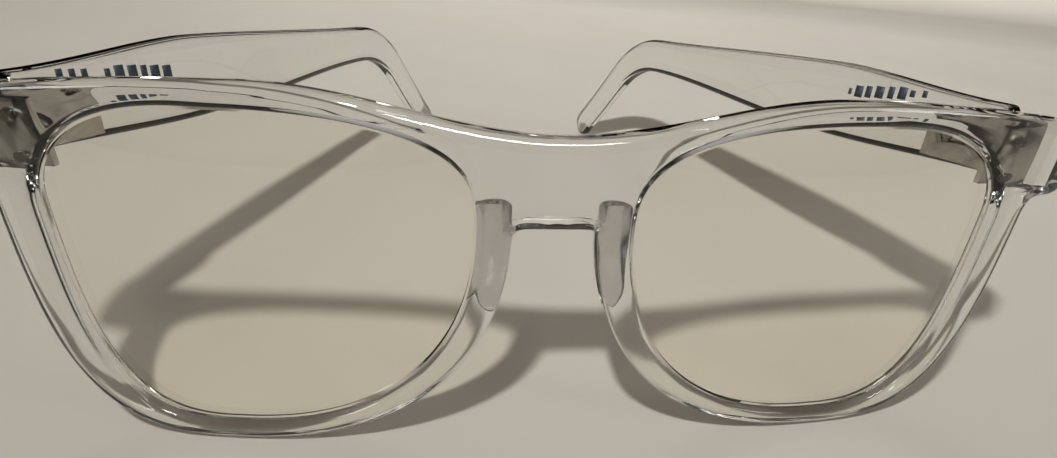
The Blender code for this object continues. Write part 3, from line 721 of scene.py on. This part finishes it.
def buildArm(side, sign, tree):
    a = armSizes
    total = armStation(0.0)[4]
    startRound, tip = a["startRound"], a["tipReach"]
    lengths = [startRound * (1 - math.cos(math.radians(d))) for d in range(0, 91, 15)]
    lengths += list(np.arange(startRound + a["spacing"], total - tip, a["spacing"]))
    lengths += [total - tip * (1 - math.sin(math.radians(d))) for d in range(0, 90, 5)]
    lengths.append(total - tip * (1 - math.sin(math.radians(89))))
    rows = {"centre": [], "up": [], "halfHigh": [], "halfThick": [], "rounding": []}
    for s in lengths:
        centre, bend, height, thick, _ = armStation(s)
        early = 1 - min(s, startRound) / startRound
        startIn = startRound * (1 - math.sqrt(max(0.0, 1 - early**2)))
        late = max(0.0, s - (total - tip)) / tip
        shrink = math.sqrt(max(0.0, 1 - late * late))
        halfHigh = (height / 2 - startIn) * shrink
        halfThick = (thick / 2 - startIn) * (0.3 + 0.7 * shrink)
        rows["centre"].append((sign * centre.x, centre.y, centre.z))
        rows["up"].append((0.0, math.sin(bend), math.cos(bend)))
        rows["halfHigh"].append(halfHigh)
        rows["halfThick"].append(halfThick)
        rows["rounding"].append(min(a["edgeRound"], halfHigh * 0.9, halfThick * 0.9))
    return grow(f"clearArm_{side}", tree, rows["centre"], rows, {"Sides": a["sides"]}, framePlastic,
                toRow @ foldedIn(sign), a["sharpAt"], joined=True)


armTree = sweptArmTree()
for side, sign in sides:
    arm = buildArm(side, sign, armTree)
    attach(arm, f"temple_{side}")
    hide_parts(f"temple_{side}")
    print(f"arm {side}: {len(arm.data.polygons)} faces")


leafScrew = {
    "Head Radius": 1.1, "Head Height": 0.5, "Slot Width": 0.3,
    "Shank Radius": 0.6, "Shank Length": 2.4, "Seed": 3,
}
hingeScrew = {
    "Head Radius": 1.28, "Head Height": 0.7, "Slot Width": 0.34,
    "Shank Radius": 0.7, "Shank Length": 8.1, "Seed": 5,
}
screwSharpAt = 35.0


def screwTree():
    # A domed slotted screw on each point, its head facing the way the point says,
    # each slot stopped at its own angle.
    tree, given = newTree("slottedScrews", {
        "Head Radius": "Float", "Head Height": "Float", "Slot Width": "Float",
        "Shank Radius": "Float", "Shank Length": "Float", "Seed": "Int"})
    headR, headH = given["Head Radius"], given["Head Height"]
    head = addNode(tree, "GeometryNodeMeshCylinder", inputs={
        "Vertices": 56, "Side Segments": 1, "Fill Segments": 6, "Radius": headR, "Depth": headH})
    spot = addNode(tree, "GeometryNodeInputPosition").outputs[0]
    parts = addNode(tree, "ShaderNodeSeparateXYZ", inputs={0: spot})
    flatSpot = addNode(tree, "ShaderNodeCombineXYZ", inputs={0: parts.outputs[0], 1: parts.outputs[1]})
    out = addNode(tree, "ShaderNodeVectorMath", {"operation": "LENGTH"}, {0: flatSpot.outputs[0]})
    share = addNode(tree, "ShaderNodeMath", {"operation": "DIVIDE"}, {0: out.outputs["Value"], 1: headR})
    power = addNode(tree, "ShaderNodeMath", {"operation": "POWER"}, {0: share.outputs[0], 1: 3.0})
    drop = addNode(tree, "ShaderNodeMath", {"operation": "MULTIPLY"}, {0: power.outputs[0], 1: -0.4})
    byHeight = addNode(tree, "ShaderNodeMath", {"operation": "MULTIPLY"}, {0: drop.outputs[0], 1: headH})
    offset = addNode(tree, "ShaderNodeCombineXYZ", inputs={2: byHeight.outputs[0]})
    aboveMiddle = addNode(tree, "ShaderNodeMath", {"operation": "GREATER_THAN"}, {
        0: parts.outputs[2], 1: 0.0})
    domed = addNode(tree, "GeometryNodeSetPosition", inputs={
        "Geometry": head.outputs[0], "Selection": aboveMiddle.outputs[0], "Offset": offset.outputs[0]})
    slotSize = addNode(tree, "ShaderNodeCombineXYZ", inputs={0: given["Slot Width"], 1: 6.0, 2: headH})
    slot = addNode(tree, "GeometryNodeMeshCube", inputs={"Size": slotSize.outputs[0]})
    lift = addNode(tree, "ShaderNodeMath", {"operation": "MULTIPLY"}, {0: headH, 1: 0.52})
    liftBy = addNode(tree, "ShaderNodeCombineXYZ", inputs={2: lift.outputs[0]})
    slotUp = addNode(tree, "GeometryNodeTransform", inputs={
        "Geometry": slot.outputs[0], "Translation": liftBy.outputs[0]})
    cut = addNode(tree, "GeometryNodeMeshBoolean", {"operation": "DIFFERENCE", "solver": "EXACT"}, {
        "Mesh 1": domed.outputs[0], "Mesh 2": slotUp.outputs[0]})
    seated = addNode(tree, "GeometryNodeTransform", inputs={
        "Geometry": cut.outputs[0], "Translation": liftBy.outputs[0]})
    shank = addNode(tree, "GeometryNodeMeshCylinder", inputs={
        "Vertices": 40, "Radius": given["Shank Radius"], "Depth": given["Shank Length"]})
    sink = addNode(tree, "ShaderNodeMath", {"operation": "MULTIPLY_ADD"}, {
        0: given["Shank Length"], 1: -0.5, 2: 0.12})
    sinkBy = addNode(tree, "ShaderNodeCombineXYZ", inputs={2: sink.outputs[0]})
    sunk = addNode(tree, "GeometryNodeTransform", inputs={
        "Geometry": shank.outputs[0], "Translation": sinkBy.outputs[0]})
    screw = addNode(tree, "GeometryNodeJoinGeometry")
    tree.links.new(seated.outputs[0], screw.inputs[0])
    tree.links.new(sunk.outputs[0], screw.inputs[0])
    facing = addNode(tree, "GeometryNodeInputNamedAttribute", {"data_type": "FLOAT_VECTOR"}, {
        "Name": "facing"})
    aimed = addNode(tree, "FunctionNodeAlignRotationToVector", {"axis": "Z"}, {"Vector": facing.outputs[0]})
    angle = addNode(tree, "FunctionNodeRandomValue", {"data_type": "FLOAT"}, {
        2: 0.3, 3: 2.8, "Seed": given["Seed"]})
    twist = addNode(tree, "FunctionNodeAxisAngleToRotation", inputs={
        "Axis": (0, 0, 1), "Angle": angle.outputs[1]})
    turned = addNode(tree, "FunctionNodeRotateRotation", {"rotation_space": "LOCAL"}, {
        0: aimed.outputs[0], 1: twist.outputs[0]})
    placed = addNode(tree, "GeometryNodeInstanceOnPoints", inputs={
        "Points": given["Geometry"], "Instance": screw.outputs[0], "Rotation": turned.outputs[0]})
    endTree(tree, given, placed.outputs[0])
    return tree


slottedScrews = screwTree()


def addScrews(name, seats, facing, sizes, body, nodes, matrix):
    ways = {"facing": [facing] * len(seats)}
    screws = grow(name, slottedScrews, seats, ways, sizes, screwSteel, matrix, screwSharpAt)
    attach(screws, body)
    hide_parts(*nodes)


plateX = pivotX - hingeSizes["frontPlate"] * hingeSizes["screwShare"]
plateY = sweepBack(plateX) + plateBack + hingeSizes["screwLift"]
drop = hingeSizes["screwDrop"]
leafSeats = [(s * plateX, plateY, hingeZ + up * drop) for _, s in sides for up in (-1, 1)]
leafNodes = [f"front_leaf_screw_{side}_{n}" for side, _ in sides for n in (1, 2)]
addScrews("frontLeafScrews", leafSeats, (0, 1, 0), leafScrew, "front", leafNodes, toRow)
pinTop = hingeZ + hingeSizes["height"] / 2 + hingeSizes["screwLift"]
pinSeats = [(s * pivotX, pivotY, pinTop) for _, s in sides]
pinNodes = [f"hinge_screw_{side}" for side, _ in sides]
addScrews("hingeScrews", pinSeats, (0, 0, 1), hingeScrew, "front", pinNodes, toRow)
for side, sign in sides:
    faceX = armIn - hingeSizes["gap"] - hingeSizes["plate"] - hingeSizes["screwLift"]
    seats = [(sign * faceX, pivotY + at, hingeZ) for at in hingeSizes["armScrewAt"]]
    nodes = [f"temple_leaf_screw_{side}_{n}" for n in (1, 2)]
    turned = toRow @ foldedIn(sign)
    addScrews(f"armLeafScrews_{side}", seats, (-sign, 0, 0), leafScrew, f"temple_{side}", nodes, turned)
print("screws made")


def easedLeaf(node, name, body):
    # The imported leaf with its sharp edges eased.
    source = frame["nodes"][node]
    bm = bmesh.new()
    bm.from_mesh(source.data)
    bmesh.ops.remove_doubles(bm, verts=bm.verts, dist=2e-6)
    bmesh.ops.dissolve_limit(bm, angle_limit=math.radians(3), verts=bm.verts, edges=bm.edges)
    mesh = bpy.data.meshes.new(name)
    bm.to_mesh(mesh)
    bm.free()
    leaf = bpy.data.objects.new(name, mesh)
    bpy.context.scene.collection.objects.link(leaf)
    soften = leaf.modifiers.new("soften", "BEVEL")
    soften.width = hingeSizes["edge"] * mm
    soften.segments = hingeSizes["edgeSteps"]
    soften.limit_method = "ANGLE"
    soften.angle_limit = math.radians(40)
    evaluated(leaf)
    finishMesh(leaf, hingeNickel, hingeSizes["sharpAt"])
    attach(leaf, body)
    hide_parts(node)


for side, _ in sides:
    easedLeaf(f"front_hinge_leaf_{side}", f"frontHingeLeaf_{side}", "front")
    easedLeaf(f"temple_hinge_leaf_{side}", f"armHingeLeaf_{side}", f"temple_{side}")
print("hinge leaves made")


# plain bars inside each arm, standing for small print: how far along, how wide
markSizes = {
    "right": (
        (6.2, 0.9), (7.9, 0.9), (9.6, 0.9), (13.0, 0.9), (14.9, 1.6),
        (17.1, 1.6), (19.1, 1.1), (21.1, 1.7), (23.4, 1.7),
    ),
    "left": (
        (12.2, 0.8), (14.2, 0.9), (15.9, 1.5), (17.9, 1.1), (20.0, 1.6),
        (22.1, 1.2), (24.0, 1.6), (25.8, 0.7),
    ),
    "height": {"right": 47.3, "left": 48.6}, "slope": {"right": 0.1, "left": 0.125},
    "high": 2.0, "low": 1.1, "ink": 0.02,
}


def barTree():
    # A flat bar on each point, as wide and high as the point says.
    tree, given = newTree("printedBars", {"Ink": "Float"})
    size = addNode(tree, "GeometryNodeInputNamedAttribute", {"data_type": "FLOAT_VECTOR"}, {
        "Name": "size"})
    parts = addNode(tree, "ShaderNodeSeparateXYZ", inputs={0: size.outputs[0]})
    cube = addNode(tree, "GeometryNodeMeshCube", inputs={"Size": (1, 1, 1)})
    scale = addNode(tree, "ShaderNodeCombineXYZ", inputs={
        0: given["Ink"], 1: parts.outputs[1], 2: parts.outputs[2]})
    placed = addNode(tree, "GeometryNodeInstanceOnPoints", inputs={
        "Points": given["Geometry"], "Instance": cube.outputs[0], "Scale": scale.outputs[0]})
    endTree(tree, given, placed.outputs[0])
    return tree


printedBars = barTree()
for side, sign in sides:
    points, sizes = [], []
    for s, wide in markSizes[side]:
        centre, _, height, thick, _ = armStation(s)
        inside = centre.x - thick / 2 - markSizes["ink"] / 2
        up = markSizes["height"][side] - markSizes["slope"][side] * s
        points.append((sign * inside, centre.y, up))
        sizes.append((1.0, wide, markSizes["high" if wide > 1 else "low"]))
    ink = {"Ink": markSizes["ink"]}
    marks = grow(f"innerMarks_{side}", printedBars, points, {"size": sizes}, ink, inkPrint,
                 toRow @ foldedIn(sign), 180.0)
    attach(marks, f"temple_{side}")
print("marks made")


stage = {
    "flatRadius": 1.0, "rimRadius": 1.6, "rimHeight": 0.4,
    # glow, glowFrom, glowTo: painted light, the board's own glow rising from glowFrom to glowTo metres out
    "glow": 0.2, "glowFrom": 0.45, "glowTo": 1.5,
    "color": "#b7b1a7", "colorTwo": "#c2bcb2", "cloudMm": 120.0,
    "grainMm": 1.2, "grainHigh": 0.03, "grainStrength": 0.15, "rough": 0.7,
}
lampColor = (1.0, 0.995, 0.975)
lights = {
    "key": {
        "place": (-0.04, -0.142, 0.181), "aim": (0.0, -0.02, 0.02), "size": 0.012, "power": 9.8,
        "steady": True, "evenAt": 0.25, "lift": 1.4, "most": 2.9,
    },
    "shine": {
        "place": (0.02, -0.36, 0.36), "aim": (0.0, -0.02, 0.02), "size": 0.13, "power": 1.6,
        "shineOnly": True,
    },
    "back": {
        "place": (0.03, 0.5, 0.6), "aim": (0.03, 0.5, 0.0), "size": 0.4, "power": 0.8,
        "fillOnly": True,
    },
    "sideLeft": {"place": (-0.5, -0.3, 0.3), "aim": (0.0, -0.02, 0.02), "size": 0.16, "power": 0.5},
    "sideRight": {"place": (0.5, -0.3, 0.3), "aim": (0.0, -0.02, 0.02), "size": 0.16, "power": 0.4},
}


def tableMaterial():
    # Matt painted board: warm light grey, a soft uneven tone, the faintest grain, and painted light: a glow
    # in its own colour that grows towards the surround.
    mat, tree = newMaterial("matt_painted_board")
    place = addNode(tree, "ShaderNodeTexCoord").outputs["Object"]
    cloud = addNode(tree, "ShaderNodeTexNoise", inputs={
        "Vector": place, "Scale": 1 / (stage["cloudMm"] * mm), "Detail": 2.0})
    grain = addNode(tree, "ShaderNodeTexNoise", inputs={
        "Vector": place, "Scale": 1 / (stage["grainMm"] * mm), "Detail": 3.0})
    color = addNode(tree, "ShaderNodeMix", {"data_type": "RGBA"}, {
        0: cloud.outputs[0], 6: linear(stage["color"]), 7: linear(stage["colorTwo"])})
    bump = addNode(tree, "ShaderNodeBump", inputs={
        "Strength": stage["grainStrength"], "Distance": stage["grainHigh"] * mm,
        "Height": grain.outputs[0]})
    # painted light: the board glows in its own colour, none near the middle, a little more towards the
    # surround
    away = addNode(tree, "ShaderNodeVectorMath", {"operation": "LENGTH"}, {0: place})
    paintedGlow = addNode(tree, "ShaderNodeMapRange", {"interpolation_type": "SMOOTHSTEP"}, {
        "Value": away.outputs["Value"], "From Min": stage["glowFrom"], "From Max": stage["glowTo"],
        "To Min": 0.0, "To Max": stage["glow"]})
    body = addNode(tree, "ShaderNodeBsdfPrincipled", inputs={
        "Base Color": color.outputs[2], "Roughness": stage["rough"], "Specular IOR Level": 0.1,
        "Normal": bump.outputs[0],
        "Emission Color": color.outputs[2], "Emission Strength": paintedGlow.outputs[0]})
    finishSurface(tree, body.outputs[0])
    return mat


def spunSurface(name, rings, mat):
    around = 128
    angles = [2 * math.pi * i / around for i in range(around)]
    verts = [(r * math.cos(a), r * math.sin(a), z) for r, z in rings for a in angles]
    obj = newObject(name, verts, ringFaces(len(rings), around), mat)
    if obj.data.polygons[0].normal.z < 0:
        obj.data.flip_normals()
    return obj


def buildTable():
    # A flat top, and beyond it a rising surround that the plastic's edges do not mirror.
    mat = tableMaterial()
    flat, rim, high = stage["flatRadius"], stage["rimRadius"], stage["rimHeight"]
    spunSurface("table", [(flat * i / 8, 0.0) for i in range(9)], mat)
    turns = [i / 16 * math.pi / 2 for i in range(17)]
    rings = [(flat + (rim - flat) * math.sin(t), high * (1 - math.cos(t))) for t in turns]
    surround = spunSurface("surround", rings, mat)
    surround.visible_glossy = False
    surround.visible_transmission = False


def addLight(name, spec):
    data = bpy.data.lights.new(name, "AREA")
    data.shape = "DISK"
    data.size = spec["size"]
    data.energy = spec["power"]
    data.color = lampColor
    if spec.get("steady"):
        # even from near to far, as if many lamps stood further off behind this one
        data.use_nodes = True
        tree = data.node_tree
        tree.nodes.clear()
        falloff = addNode(tree, "ShaderNodeLightFalloff", inputs={"Strength": 1.0})
        reach = addNode(tree, "ShaderNodeLightPath").outputs["Ray Length"]
        further = addNode(tree, "ShaderNodeMath", {"operation": "MULTIPLY"}, {
            0: reach, 1: 1 / spec["evenAt"]})
        capped = addNode(tree, "ShaderNodeMath", {"operation": "MINIMUM"}, {
            0: further.outputs[0], 1: spec["most"]})
        lift = addNode(tree, "ShaderNodeMath", {"operation": "POWER"}, {
            0: capped.outputs[0], 1: spec["lift"]})
        strength = addNode(tree, "ShaderNodeMath", {"operation": "MULTIPLY"}, {
            0: falloff.outputs["Constant"], 1: lift.outputs[0]})
        glow = addNode(tree, "ShaderNodeEmission", inputs={"Strength": strength.outputs[0]})
        addNode(tree, "ShaderNodeOutputLight", inputs={"Surface": glow.outputs[0]})
    lamp = bpy.data.objects.new(name, data)
    bpy.context.scene.collection.objects.link(lamp)
    lamp.visible_diffuse = not spec.get("shineOnly")
    lamp.visible_glossy = lamp.visible_transmission = not spec.get("fillOnly")
    lamp.location = spec["place"]
    aim = Vector(spec["aim"]) - lamp.location
    lamp.rotation_euler = aim.to_track_quat("-Z", "Y").to_euler()


room = {"from": 0.74, "low": 0.003, "high": 0.4, "tint": (1.0, 0.96, 0.9, 1.0), "seen": "#c9c4ba"}


def buildWorld():
    # A quiet room: pale where the eye looks at it, dim towards the walls where the plastic mirrors it.
    world = bpy.data.worlds.new("room")
    bpy.context.scene.world = world
    world.use_nodes = True
    tree = world.node_tree
    tree.nodes.clear()
    place = addNode(tree, "ShaderNodeTexCoord").outputs["Generated"]
    height = addNode(tree, "ShaderNodeSeparateXYZ", inputs={0: place}).outputs[2]
    ramp = addNode(tree, "ShaderNodeMapRange", {"interpolation_type": "SMOOTHSTEP"}, {
        "Value": height, "From Min": room["from"], "From Max": 1.0,
        "To Min": room["low"], "To Max": room["high"]})
    dim = addNode(tree, "ShaderNodeBackground", inputs={
        "Color": room["tint"], "Strength": ramp.outputs[0]})
    pale = addNode(tree, "ShaderNodeBackground", inputs={"Color": linear(room["seen"]), "Strength": 1.0})
    rays = addNode(tree, "ShaderNodeLightPath")
    both = addNode(tree, "ShaderNodeMixShader", inputs={
        0: rays.outputs["Is Camera Ray"], 1: dim.outputs[0], 2: pale.outputs[0]})
    addNode(tree, "ShaderNodeOutputWorld", inputs={"Surface": both.outputs[0]})


cameraView = {
    "place": (-0.00916, -0.12406, 0.06303), "turn": 6.03, "down": 28.63, "roll": 3.41,
    "lens": 17.69, "near": 0.004, "far": 20.0,
}


def addCamera():
    data = bpy.data.cameras.new("camera")
    data.lens = cameraView["lens"]
    data.sensor_width = 36.0
    data.sensor_fit = "HORIZONTAL"
    data.clip_start = cameraView["near"]
    data.clip_end = cameraView["far"]
    camera = bpy.data.objects.new("camera", data)
    bpy.context.scene.collection.objects.link(camera)
    turn, down, roll = (math.radians(cameraView[k]) for k in ("turn", "down", "roll"))
    forward = Vector((math.sin(turn) * math.cos(down), math.cos(turn) * math.cos(down), -math.sin(down)))
    level = Vector((math.cos(turn), -math.sin(turn), 0.0))
    upright = level.cross(forward)
    right = level * math.cos(roll) + upright * math.sin(roll)
    up = upright * math.cos(roll) - level * math.sin(roll)
    pose = Matrix((right, up, -forward)).transposed().to_4x4()
    pose.translation = cameraView["place"]
    camera.matrix_world = pose
    bpy.context.scene.camera = camera


buildTable()
for name, spec in lights.items():
    addLight(name, spec)
buildWorld()
addCamera()
bpy.context.scene.view_settings.view_transform = "Standard"
print("stage set")
